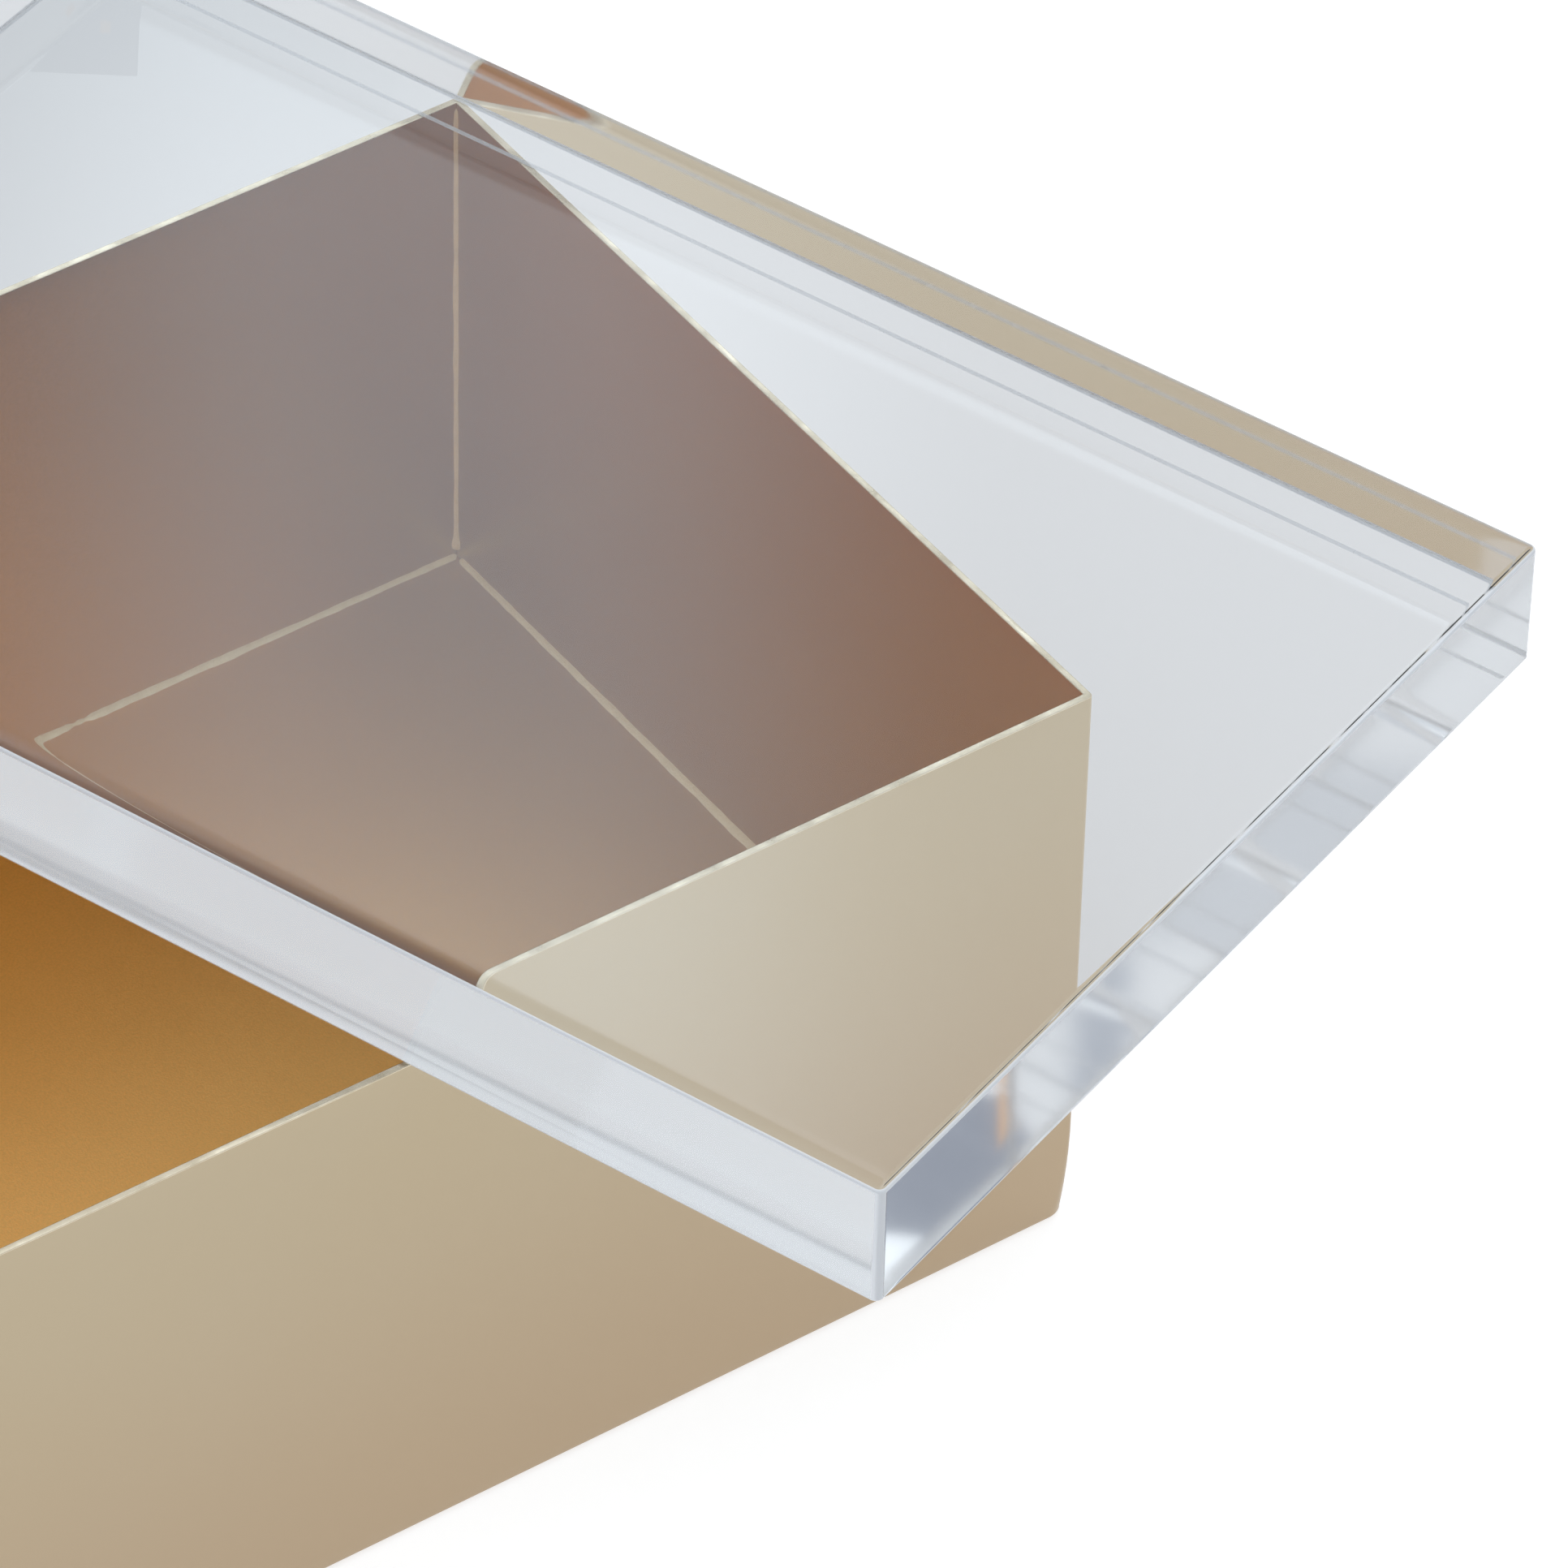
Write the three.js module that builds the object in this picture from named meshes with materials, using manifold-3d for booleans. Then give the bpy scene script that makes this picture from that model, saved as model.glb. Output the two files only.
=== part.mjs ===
// A low rectangular box soldered from thin gilt sheet metal, with a thick clear acrylic slab
// for a lid. The lid has no hinge, knob or plug: it lies loose on the rim, here turned most of
// the way round so that one end of the box stands open.
//
// Millimetres, +Z up. +X runs along the box's length and +Y to its back.
// The origin is the middle of the felt pad's underside, where the box stands.

import * as THREE from "three";
import { mergeVertices } from "three/addons/utils/BufferGeometryUtils.js";
import Module from "manifold-3d";

const wasm = await Module();
wasm.setup();

// ---- Driving dimensions ----

const LID_LENGTH = 228.6;
const LID_WIDTH = 146;
const LID_THICKNESS = 19.05;
const LID_CORNER_RADIUS = 1.2;
const LID_EDGE_RADIUS = 0.5;

// When the lid is closed it stands this far past the walls on every side.
const LID_OVERHANG = 1;

// Where the lid lies: turned about +Z from closed, with its middle moved from the box's middle.
const LID_TURN = THREE.MathUtils.degToRad(-70.3);
const LID_MIDDLE_X = 63.2;
const LID_MIDDLE_Y = -6.1;
const LID_REST_GAP = 0.1;

const BOX_LENGTH = LID_LENGTH - 2 * LID_OVERHANG;
const BOX_WIDTH = LID_WIDTH - 2 * LID_OVERHANG;
const RIM_HEIGHT = 82.5;
const SHEET = 1;

// The felt pad fills the recess under the floor and stands a little proud of the walls.
const FELT_THICKNESS = 1.5;
const FELT_PROUD = 0.6;
const FELT_INSET = 1;

// The outer corners are dressed off: almost sharp at the rim, rounder near the bottom.
const RIM_CORNER_RADIUS = 0.6;
const FOOT_CORNER_RADIUS = 3;
const FOOT_ROUNDING_HEIGHT = 16;
const FOOT_EDGE_RADIUS = 0.8;

// Each inside seam is closed by a fillet of solder.
const BEAD_LEG = 0.9;
const BEAD_GAP = 0.1;

// ---- Materials ----

function gilt(color, roughness) {
  return new THREE.MeshStandardMaterial({ color, roughness, metalness: 1 });
}

const finishes = {
  acrylic: () =>
    new THREE.MeshStandardMaterial({
      color: 0xe6ecef,
      roughness: 0.03,
      metalness: 0,
      transparent: true,
      opacity: 0.35,
    }),
  gilt_sheet: () => gilt(0xbfa983, 0.3),
  gilt_floor: () => gilt(0xb98a4b, 0.36),
  solder: () => gilt(0xd9c39a, 0.42),
  felt: () =>
    new THREE.MeshStandardMaterial({ color: 0x2b2a2c, roughness: 1, metalness: 0 }),
};

// ---- Solids ----

function piece(name, geometry, finish) {
  const mesh = new THREE.Mesh(geometry, finishes[finish]());
  mesh.name = name;
  return mesh;
}

function roundedRectangle(length, width, radius) {
  const x = length / 2;
  const y = width / 2;
  const outline = new THREE.Shape();
  outline.absarc(x - radius, y - radius, radius, 0, Math.PI / 2);
  outline.absarc(radius - x, y - radius, radius, Math.PI / 2, Math.PI);
  outline.absarc(radius - x, radius - y, radius, Math.PI, 1.5 * Math.PI);
  outline.absarc(x - radius, radius - y, radius, 1.5 * Math.PI, 2 * Math.PI);
  return outline;
}

// One closed solid through a stack of outlines, each with the same number of points.
function stackedOutlines(levels) {
  const positions = [];
  const faces = [];
  for (const level of levels) {
    for (const point of level.outline) {
      positions.push(point.x, point.y, level.z);
    }
  }
  const count = levels[0].outline.length;
  for (let row = 0; row + 1 < levels.length; row++) {
    for (let i = 0; i < count; i++) {
      const next = (i + 1) % count;
      const low = row * count;
      const high = low + count;
      faces.push(low + i, low + next, high + next);
      faces.push(low + i, high + next, high + i);
    }
  }
  const top = (levels.length - 1) * count;
  for (let i = 1; i + 1 < count; i++) {
    faces.push(0, i + 1, i);
    faces.push(top, top + i, top + i + 1);
  }
  const geometry = new THREE.BufferGeometry();
  geometry.setAttribute("position", new THREE.Float32BufferAttribute(positions, 3));
  geometry.setIndex(faces);
  return geometry;
}

function toManifold(geometry) {
  const bare = geometry.clone();
  bare.deleteAttribute("normal");
  bare.deleteAttribute("uv");
  const merged = mergeVertices(bare);
  return new wasm.Manifold(
    new wasm.Mesh({
      numProp: 3,
      vertProperties: merged.attributes.position.array,
      triVerts: new Uint32Array(merged.index.array),
    }),
  );
}

function fromManifold(solid) {
  const mesh = solid.getMesh();
  const geometry = new THREE.BufferGeometry();
  geometry.setAttribute("position", new THREE.BufferAttribute(mesh.vertProperties, 3));
  geometry.setIndex(new THREE.BufferAttribute(mesh.triVerts, 1));
  geometry.computeVertexNormals();
  return geometry;
}

// ---- The box's outer form, which every wall is cut to ----

const METAL_BOTTOM = FELT_PROUD;
const INNER_LENGTH = BOX_LENGTH - 2 * SHEET;
const INNER_WIDTH = BOX_WIDTH - 2 * SHEET;
const FLOOR_TOP = FELT_THICKNESS + SHEET;

function boxOutline(cornerRadius, inset) {
  const arcPoints = 6;
  const outline = roundedRectangle(BOX_LENGTH - 2 * inset, BOX_WIDTH - 2 * inset, cornerRadius);
  const points = outline.getPoints(arcPoints);
  points.pop();
  return points;
}

function boxOuterForm() {
  const levels = [];
  const edgeSteps = 3;
  for (let i = 0; i < edgeSteps; i++) {
    const angle = (i / edgeSteps) * (Math.PI / 2);
    const inset = FOOT_EDGE_RADIUS * (1 - Math.sin(angle));
    const z = METAL_BOTTOM + FOOT_EDGE_RADIUS * (1 - Math.cos(angle));
    levels.push({ outline: boxOutline(FOOT_CORNER_RADIUS, inset), z });
  }
  const roundingSteps = 8;
  const roundingStart = METAL_BOTTOM + FOOT_EDGE_RADIUS;
  for (let i = 0; i <= roundingSteps; i++) {
    const share = i / roundingSteps;
    const spare = (FOOT_CORNER_RADIUS - RIM_CORNER_RADIUS) * (1 - share) ** 2;
    const z = roundingStart + share * FOOT_ROUNDING_HEIGHT;
    levels.push({ outline: boxOutline(RIM_CORNER_RADIUS + spare, 0), z });
  }
  levels.push({ outline: boxOutline(RIM_CORNER_RADIUS, 0), z: RIM_HEIGHT });
  return toManifold(stackedOutlines(levels));
}

const outerForm = boxOuterForm();

// ---- The four walls: the end walls stand between the long ones ----

function wall(name, length, width, x, y) {
  const height = RIM_HEIGHT - METAL_BOTTOM;
  const blank = new THREE.BoxGeometry(length, width, height);
  blank.translate(x, y, METAL_BOTTOM + height / 2);
  const cut = toManifold(blank).intersect(outerForm);
  return piece(name, fromManifold(cut), "gilt_sheet");
}

function walls() {
  const group = new THREE.Group();
  const endX = (BOX_LENGTH - SHEET) / 2;
  const sideY = (BOX_WIDTH - SHEET) / 2;
  group.add(wall("front_wall", BOX_LENGTH, SHEET, 0, -sideY));
  group.add(wall("back_wall", BOX_LENGTH, SHEET, 0, sideY));
  group.add(wall("left_wall", SHEET, INNER_WIDTH, -endX, 0));
  group.add(wall("right_wall", SHEET, INNER_WIDTH, endX, 0));
  return group;
}

// ---- The floor and the pad under it ----

function floorPlate() {
  const floor = piece(
    "floor_plate",
    new THREE.BoxGeometry(INNER_LENGTH, INNER_WIDTH, SHEET),
    "gilt_floor",
  );
  floor.position.z = FELT_THICKNESS + SHEET / 2;
  return floor;
}

function feltPad() {
  const cornerRadius = 2;
  const outline = roundedRectangle(
    INNER_LENGTH - 2 * FELT_INSET,
    INNER_WIDTH - 2 * FELT_INSET,
    cornerRadius,
  );
  const pad = new THREE.ExtrudeGeometry(outline, {
    depth: FELT_THICKNESS,
    bevelEnabled: false,
    curveSegments: 6,
  });
  return piece("felt_pad", pad, "felt");
}

// ---- Solder fillets along the inside seams ----

// The fillet's section fills the corner between +X and +Y and has a hollow face.
function bead(name, length) {
  const section = new THREE.Shape();
  section.moveTo(0, 0);
  section.lineTo(BEAD_LEG, 0);
  section.absarc(BEAD_LEG, BEAD_LEG, BEAD_LEG * 0.94, 1.5 * Math.PI, Math.PI, true);
  section.lineTo(0, BEAD_LEG);
  const fillet = new THREE.ExtrudeGeometry(section, {
    depth: length,
    bevelEnabled: false,
    curveSegments: 5,
  });
  return piece(name, fillet, "solder");
}

function cornerBeads() {
  const group = new THREE.Group();
  const start = FLOOR_TOP + BEAD_LEG + BEAD_GAP;
  const corners = [
    ["back_right", 1, 1],
    ["back_left", -1, 1],
    ["front_left", -1, -1],
    ["front_right", 1, -1],
  ];
  corners.forEach(([place, sideX, sideY], quarter) => {
    const upright = bead(`corner_bead_${place}`, RIM_HEIGHT - SHEET - start);
    upright.position.set((sideX * INNER_LENGTH) / 2, (sideY * INNER_WIDTH) / 2, start);
    upright.rotation.z = Math.PI + (quarter * Math.PI) / 2;
    group.add(upright);
  });
  return group;
}

function floorBeads() {
  const group = new THREE.Group();
  const shortRun = INNER_WIDTH - 2 * (BEAD_LEG + BEAD_GAP);
  const runs = [
    ["front", INNER_LENGTH, INNER_WIDTH / 2],
    ["right", shortRun, INNER_LENGTH / 2],
    ["back", INNER_LENGTH, INNER_WIDTH / 2],
    ["left", shortRun, INNER_LENGTH / 2],
  ];
  runs.forEach(([place, length, distance], quarter) => {
    const lying = bead(`floor_bead_${place}`, length);
    lying.rotation.set(Math.PI / 2, Math.PI / 2, 0);
    lying.position.set(-length / 2, -distance, 0);
    const side = new THREE.Group();
    side.rotation.z = (quarter * Math.PI) / 2;
    side.position.z = FLOOR_TOP;
    side.add(lying);
    group.add(side);
  });
  return group;
}

// ---- The lid ----

function acrylicLid() {
  const outline = roundedRectangle(
    LID_LENGTH - 2 * LID_EDGE_RADIUS,
    LID_WIDTH - 2 * LID_EDGE_RADIUS,
    LID_CORNER_RADIUS - LID_EDGE_RADIUS,
  );
  const slab = new THREE.ExtrudeGeometry(outline, {
    depth: LID_THICKNESS - 2 * LID_EDGE_RADIUS,
    bevelThickness: LID_EDGE_RADIUS,
    bevelSize: LID_EDGE_RADIUS,
    bevelSegments: 3,
    curveSegments: 6,
  });
  const lid = piece("acrylic_lid", slab, "acrylic");
  lid.position.set(LID_MIDDLE_X, LID_MIDDLE_Y, RIM_HEIGHT + LID_REST_GAP + LID_EDGE_RADIUS);
  lid.rotation.z = LID_TURN;
  return lid;
}

// ---- Assembly ----

const box = new THREE.Group();
box.add(floorPlate(), walls(), feltPad(), cornerBeads(), floorBeads(), acrylicLid());

export default box;
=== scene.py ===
"""Gives a soldered gilt sheet-metal box and its loose clear acrylic lid their finished surfaces.

Metres, +Z up, in the frame of the packed part: +X along the box's length, +Y to its back.
"""

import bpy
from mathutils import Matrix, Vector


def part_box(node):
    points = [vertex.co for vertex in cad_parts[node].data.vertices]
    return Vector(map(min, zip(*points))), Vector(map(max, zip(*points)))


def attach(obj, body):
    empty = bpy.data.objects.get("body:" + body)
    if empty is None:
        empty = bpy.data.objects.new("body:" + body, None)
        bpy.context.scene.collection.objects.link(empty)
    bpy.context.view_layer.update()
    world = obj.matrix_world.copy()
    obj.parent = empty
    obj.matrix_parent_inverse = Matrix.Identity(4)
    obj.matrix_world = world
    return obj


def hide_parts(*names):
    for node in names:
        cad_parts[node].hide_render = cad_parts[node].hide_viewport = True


bl_info = {
    "name": "Gilt Box with Acrylic Lid",
    "version": (1, 0, 0),
    "blender": (4, 5, 0),
    "location": "View3D > Sidebar > Gilt Box",
    "description": "Builds the finished surfaces of a soldered gilt box and its acrylic lid",
    "category": "Object",
}

import math

import bmesh
import bpy
from mathutils import Matrix, Vector, noise

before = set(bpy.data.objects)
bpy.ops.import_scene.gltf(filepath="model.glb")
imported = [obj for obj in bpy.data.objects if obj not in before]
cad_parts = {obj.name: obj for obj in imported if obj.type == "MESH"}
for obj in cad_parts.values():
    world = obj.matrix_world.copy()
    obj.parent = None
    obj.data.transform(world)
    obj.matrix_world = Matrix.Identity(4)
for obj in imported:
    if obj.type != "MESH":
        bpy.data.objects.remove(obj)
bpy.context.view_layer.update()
MM = 0.001

# ---- Places and sizes that come from the frame ----

FRONT_LOW, FRONT_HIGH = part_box("front_wall")
_, BACK_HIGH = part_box("back_wall")
FLOOR_LOW, FLOOR_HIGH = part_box("floor_plate")
LID_LOW, LID_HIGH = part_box("acrylic_lid")
FELT_LOW, FELT_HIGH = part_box("felt_pad")

HALF_LENGTH = FRONT_HIGH.x
HALF_WIDTH = BACK_HIGH.y
SHEET = FRONT_HIGH.y - FRONT_LOW.y
RIM_Z = FRONT_HIGH.z
METAL_BOTTOM_Z = FRONT_LOW.z
FLOOR_Z = FLOOR_HIGH.z

# The lid is turned on the rim, so its own length and width aren't those of its box in the frame.
LID_LENGTH = 228.6 * MM
LID_WIDTH = 146 * MM
LID_TURN = math.radians(-70.3)

# The box's outer corners are dressed off: almost sharp at the rim, rounder near the foot.
RIM_CORNER_RADIUS = 0.6 * MM
FOOT_CORNER_RADIUS = 3 * MM
FOOT_ROUNDING_HEIGHT = 16 * MM
FOOT_EDGE_RADIUS = 0.8 * MM

ACRYLIC_IOR = 1.491
QUARTER_TURN = math.pi / 2

# The finishes of a wall, in the order of its material slots.
OUTSIDE, CUT_EDGE, INSIDE, BURNISHED = range(4)

# The finishes of the lid, in the order of its material slots.
POLISHED_FACE, POLISHED_SIDE, SCRAPED, SCUFFED = range(4)


# ---- Colours and nodes ----


def linear(hex_colour):
    """An sRGB hex colour as linear red, green, blue and a full alpha."""
    channels = []
    for start in (1, 3, 5):
        value = int(hex_colour[start:start + 2], 16) / 255
        if value <= 0.04045:
            channels.append(value / 12.92)
        else:
            channels.append(((value + 0.055) / 1.055) ** 2.4)
    return (*channels, 1.0)


def add_node(tree, kind, inputs=None, **settings):
    """Adds one node with its settings. An input is a value, or another node's output to link."""
    made = tree.nodes.new(kind)
    for name, value in settings.items():
        setattr(made, name, value)
    for socket, value in (inputs or {}).items():
        if isinstance(value, bpy.types.NodeSocket):
            tree.links.new(value, made.inputs[socket])
        else:
            made.inputs[socket].default_value = value
    return made


def new_material(name):
    """An empty material, its node tree, its shader and the place on the surface in metres."""
    material = bpy.data.materials.new(name)
    material.use_nodes = True
    tree = material.node_tree
    shader = tree.nodes["Principled BSDF"]
    place = add_node(tree, "ShaderNodeTexCoord").outputs["Object"]
    return material, tree, shader, place


def per_metre(size):
    """A noise scale that gives features of about this size, in metres."""
    return 1 / size


def colour_patches(tree, place, size, low, high, detail=2.0):
    """Two colours that drift into each other in soft patches of the given size."""
    patches = add_node(
        tree,
        "ShaderNodeTexNoise",
        {"Vector": place, "Scale": per_metre(size), "Detail": detail, "Roughness": 0.5},
    )
    mix = add_node(
        tree,
        "ShaderNodeMix",
        {"Factor": patches.outputs["Fac"], "A": low, "B": high},
        data_type="RGBA",
    )
    return mix.outputs["Result"]


def grain(tree, place, size, low, high, detail=3.0):
    """A value between low and high that changes with a fine grain of the given size."""
    specks = add_node(
        tree,
        "ShaderNodeTexNoise",
        {"Vector": place, "Scale": per_metre(size), "Detail": detail, "Roughness": 0.6},
    )
    spread = add_node(
        tree,
        "ShaderNodeMapRange",
        {"Value": specks.outputs["Fac"], "From Min": 0.3, "From Max": 0.7, "To Min": low, "To Max": high},
    )
    return spread.outputs["Result"]


def vary_roughness(tree, shader, place, size, low, high):
    """Lets the roughness change between two values, with a grain of the given size."""
    tree.links.new(grain(tree, place, size, low, high), shader.inputs["Roughness"])


def add_relief(tree, shader, place, size, depth, detail=3.0):
    """Gives the surface a fine bumpy grain of the given size, with its full depth in metres."""
    height = grain(tree, place, size, 0.0, 1.0, detail)
    bump = add_node(
        tree, "ShaderNodeBump", {"Height": height, "Distance": depth, "Strength": 1.0}
    )
    tree.links.new(bump.outputs["Normal"], shader.inputs["Normal"])


def patchy_material(name, size, colour, other_colour, detail, metallic):
    """A new material whose colour drifts between two, in patches of the given size."""
    material, tree, shader, place = new_material(name)
    shader.inputs["Metallic"].default_value = metallic
    patches = colour_patches(tree, place, size, tuple(colour), tuple(other_colour), detail)
    tree.links.new(patches, shader.inputs["Base Color"])
    return material, tree, shader, place


def acrylic(name, colour, transmission):
    """A new acrylic (PMMA) material, with its refractive index and how clear it is."""
    material, tree, shader, place = new_material(name)
    shader.inputs["Base Color"].default_value = tuple(colour)
    shader.inputs["Transmission Weight"].default_value = transmission
    shader.inputs["IOR"].default_value = ACRYLIC_IOR
    return material, tree, shader, place


# ---- Materials ----


def satin_gilt_brass(settings):
    """Brass sheet with a pale champagne gilding, satin-brushed and lacquered, outside the box.

    The satin surface blurs what it mirrors into soft slopes of light, the thin plating varies a
    little in warmth from place to place, and the blasted grain sparkles faintly.
    """
    material, tree, shader, place = new_material("satin_gilt_brass")
    warm_patch_size = 45 * MM
    shader.inputs["Metallic"].default_value = 1.0
    patches = colour_patches(
        tree, place, warm_patch_size, tuple(settings.outer_colour), tuple(settings.outer_warm_colour)
    )
    # Painted shade: deeper in colour towards the foot, for the darker ground it mirrors there.
    height = add_node(tree, "ShaderNodeSeparateXYZ", {"Vector": place}).outputs["Z"]
    foot_shade_share = add_node(
        tree,
        "ShaderNodeMapRange",
        {"Value": height, "From Min": RIM_Z, "From Max": METAL_BOTTOM_Z},
        interpolation_type="SMOOTHSTEP",
    )
    colour = add_node(
        tree,
        "ShaderNodeMix",
        {"Factor": foot_shade_share.outputs["Result"], "A": patches, "B": tuple(settings.outer_foot_shade_colour)},
        data_type="RGBA",
    )
    tree.links.new(colour.outputs["Result"], shader.inputs["Base Color"])
    # The real grain is about 0.05 mm, too fine to show, so it is drawn three times as coarse.
    grain_size = 0.15 * MM
    grain_depth = 0.0012 * MM
    brightest, dullest = 0.29, 0.37
    vary_roughness(tree, shader, place, grain_size, brightest, dullest)
    add_relief(tree, shader, place, grain_size, grain_depth)
    return material


def frosted_gilt_brass(name, colour, deep_colour, roughness, grain_depth):
    """The same sheet inside the box: a deeper gold plating over a finely blasted, unlacquered face.

    It glows orange where the walls and floor mirror each other, and its grain shows as fine specks.
    """
    material, tree, shader, place = new_material(name)
    patch_size = 30 * MM
    shader.inputs["Metallic"].default_value = 1.0
    patches = colour_patches(tree, place, patch_size, tuple(colour), tuple(deep_colour))
    # The blasting grit is about 0.1 mm and is drawn at three times that, so that its specks show.
    grain_size = 0.3 * MM
    darkest_speck, palest_speck = 0.9, 1.06
    speck = add_node(
        tree,
        "ShaderNodeVectorMath",
        {0: patches, "Scale": grain(tree, place, grain_size, darkest_speck, palest_speck)},
        operation="SCALE",
    )
    # Painted light and shade: paler at the open left, darker towards the right end under the lid.
    palest, darkest = 1.18, 0.8
    along = add_node(tree, "ShaderNodeSeparateXYZ", {"Vector": place}).outputs["X"]
    painted_lid_shade = add_node(
        tree,
        "ShaderNodeMapRange",
        {
            "Value": along,
            "From Min": 0.0,
            "From Max": HALF_LENGTH,
            "To Min": palest,
            "To Max": darkest,
        },
    )
    plating = add_node(
        tree,
        "ShaderNodeVectorMath",
        {0: speck.outputs["Vector"], "Scale": painted_lid_shade.outputs["Result"]},
        operation="SCALE",
    )
    tree.links.new(plating.outputs["Vector"], shader.inputs["Base Color"])
    unevenness = 0.06
    vary_roughness(tree, shader, place, grain_size, roughness - unevenness, roughness + unevenness)
    add_relief(tree, shader, place, grain_size, grain_depth)
    return material


def sheared_brass_edge(settings):
    """The bare cut edge of the sheet along the rim: sheared, then rubbed on a flat stone.

    It is greyer than the plated faces, and painted darker for the shade its flat top mirrors, with short
    scratches along it.
    """
    scratch_size = 1.2 * MM
    material, tree, shader, place = patchy_material(
        "sheared_brass_edge", scratch_size, settings.edge_shade_colour, settings.edge_dark_colour, 4.0, 1.0
    )
    smoothest, roughest = 0.25, 0.5
    vary_roughness(tree, shader, place, scratch_size, smoothest, roughest)
    burr_size, burr_depth = 0.3 * MM, 0.02 * MM
    add_relief(tree, shader, place, burr_size, burr_depth)
    return material


def burnished_highlight_arris(settings):
    """The rim's two arrises, rubbed bright by handling and by the lid lying on them.

    They are smoother than the faces and painted paler, a painted highlight, so they catch the light as
    thin lines.
    """
    wear_size = 4 * MM
    material, tree, shader, place = patchy_material(
        "burnished_highlight_arris", wear_size, settings.arris_colour, settings.outer_warm_colour, 3.0, 1.0
    )
    smoothest, roughest = 0.16, 0.3
    vary_roughness(tree, shader, place, wear_size, smoothest, roughest)
    return material


def gilded_solder(settings):
    """Soft solder run along the inside seams and plated over with the box.

    Solder wets unevenly, so the plating on it is lumpy, paler and duller than on the sheet.
    """
    lump_size = 2.5 * MM
    material, tree, shader, place = patchy_material(
        "gilded_solder", lump_size, settings.solder_colour, settings.solder_dull_colour, 4.0, 0.3
    )
    smoothest, roughest = 0.38, 0.6
    vary_roughness(tree, shader, place, lump_size, smoothest, roughest)
    pit_size, pit_depth = 0.5 * MM, 0.05 * MM
    add_relief(tree, shader, place, pit_size, pit_depth)
    return material


def clear_cast_acrylic(settings):
    """Cast acrylic (PMMA) sheet with its press-polished faces, refractive index 1.49.

    It is clear with a trace of cool grey, and only faint hairline rubbing breaks its gloss.
    """
    material, tree, shader, place = acrylic("clear_cast_acrylic", settings.lid_colour, 1.0)
    # Hairlines are about 0.01 mm wide; they are drawn as a faint haze in patches of rubbing.
    rub_size = 14 * MM
    haze = 0.012
    vary_roughness(tree, shader, place, rub_size, 0.0, haze)
    return material


def flame_polished_acrylic(settings):
    """The lid's sawn edges, scraped and flame-polished, refractive index 1.49.

    The flame leaves faint ripples along the saw's cut and a slight haze, so what the edges show
    of the slab's inside is soft.
    """
    material, tree, shader, place = acrylic("flame_polished_acrylic", settings.lid_edge_colour, 1.0)
    ripple_length = 30 * MM
    ripple_height = 8 * MM
    ripple_depth = 0.003 * MM
    stretched = add_node(
        tree,
        "ShaderNodeMapping",
        {"Vector": place, "Scale": (1, 1, ripple_length / ripple_height)},
    )
    add_relief(
        tree, shader, stretched.outputs["Vector"], ripple_length, ripple_depth, detail=1.0
    )
    shader.inputs["Roughness"].default_value = 0.08
    return material


def scraped_acrylic(settings):
    """The lid's arrises, eased with a scraper and left fine-matt, refractive index 1.49.

    The scraped line spreads the light, so every edge shows as a thin pale line.
    """
    material, tree, shader, place = acrylic("scraped_acrylic", settings.arris_colour, 0.25)
    chatter_size = 5 * MM
    smoothest, roughest = 0.2, 0.26
    vary_roughness(tree, shader, place, chatter_size, smoothest, roughest)
    return material


def scuffed_acrylic(settings):
    """A narrow scuff under the slab along its back edge, where the polishing wheel's guide ran.

    It is rough enough to scatter the light into a faint line.
    """
    material, tree, shader, place = acrylic("scuffed_acrylic", settings.arris_colour, 0.5)
    scuff_size = 9 * MM
    smoothest, roughest = 0.15, 0.4
    vary_roughness(tree, shader, place, scuff_size, smoothest, roughest)
    return material


def pressed_wool_felt(settings):
    """Dark pressed felt glued under the floor: matted fibres, fully matt, with a fuzzy edge."""
    # Wool fibres are about 0.03 mm thick; they are drawn as tufts of 0.4 mm so that they show.
    tuft_size, tuft_depth = 0.4 * MM, 0.2 * MM
    material, tree, shader, place = patchy_material(
        "pressed_wool_felt", tuft_size, settings.felt_colour, settings.felt_light_colour, 5.0, 0.0
    )
    shader.inputs["Sheen Weight"].default_value = 0.3
    smoothest, roughest = 0.85, 1.0
    vary_roughness(tree, shader, place, tuft_size, smoothest, roughest)
    add_relief(tree, shader, place, tuft_size, tuft_depth)
    return material


# ---- Mesh helpers ----


def add_piece(name, vertices, faces, finishes, body, nodes, finish_of_face=None):
    """Makes a closed piece, rides it on its body and lets it stand for its CAD nodes."""
    sharp_from = math.radians(50)
    mesh = bpy.data.meshes.new(name)
    mesh.from_pydata(vertices, [], faces)
    for finish in finishes:
        mesh.materials.append(finish)
    if finish_of_face:
        mesh.polygons.foreach_set("material_index", finish_of_face)
    work = bmesh.new()
    work.from_mesh(mesh)
    bmesh.ops.recalc_face_normals(work, faces=work.faces)
    for face in work.faces:
        face.smooth = True
    work.to_mesh(mesh)
    work.free()
    mesh.set_sharp_from_angle(angle=sharp_from)
    piece = bpy.data.objects.new(name, mesh)
    bpy.context.scene.collection.objects.link(piece)
    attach(piece, body)
    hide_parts(*nodes)
    return piece


def loop_faces(ring_count, ring_size):
    """Quads between neighbouring rings of points."""
    faces = []
    for ring in range(ring_count - 1):
        here, there = ring * ring_size, (ring + 1) * ring_size
        for i in range(ring_size):
            j = (i + 1) % ring_size
            faces.append((here + i, here + j, there + j, there + i))
    return faces


def ladder_faces(first, size):
    """Quads across a ring whose points mirror each other, from its first and last inwards."""
    faces = []
    for i in range(size // 2 - 1):
        faces.append((first + i, first + i + 1, first + size - 2 - i, first + size - 1 - i))
    return faces


def soft_noise(x, y, size, seed):
    """Smooth noise from about -1 to 1 with features of the given size, in metres."""
    return noise.noise(Vector((x / size, y / size, seed)))


# ---- Walls ----


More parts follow.
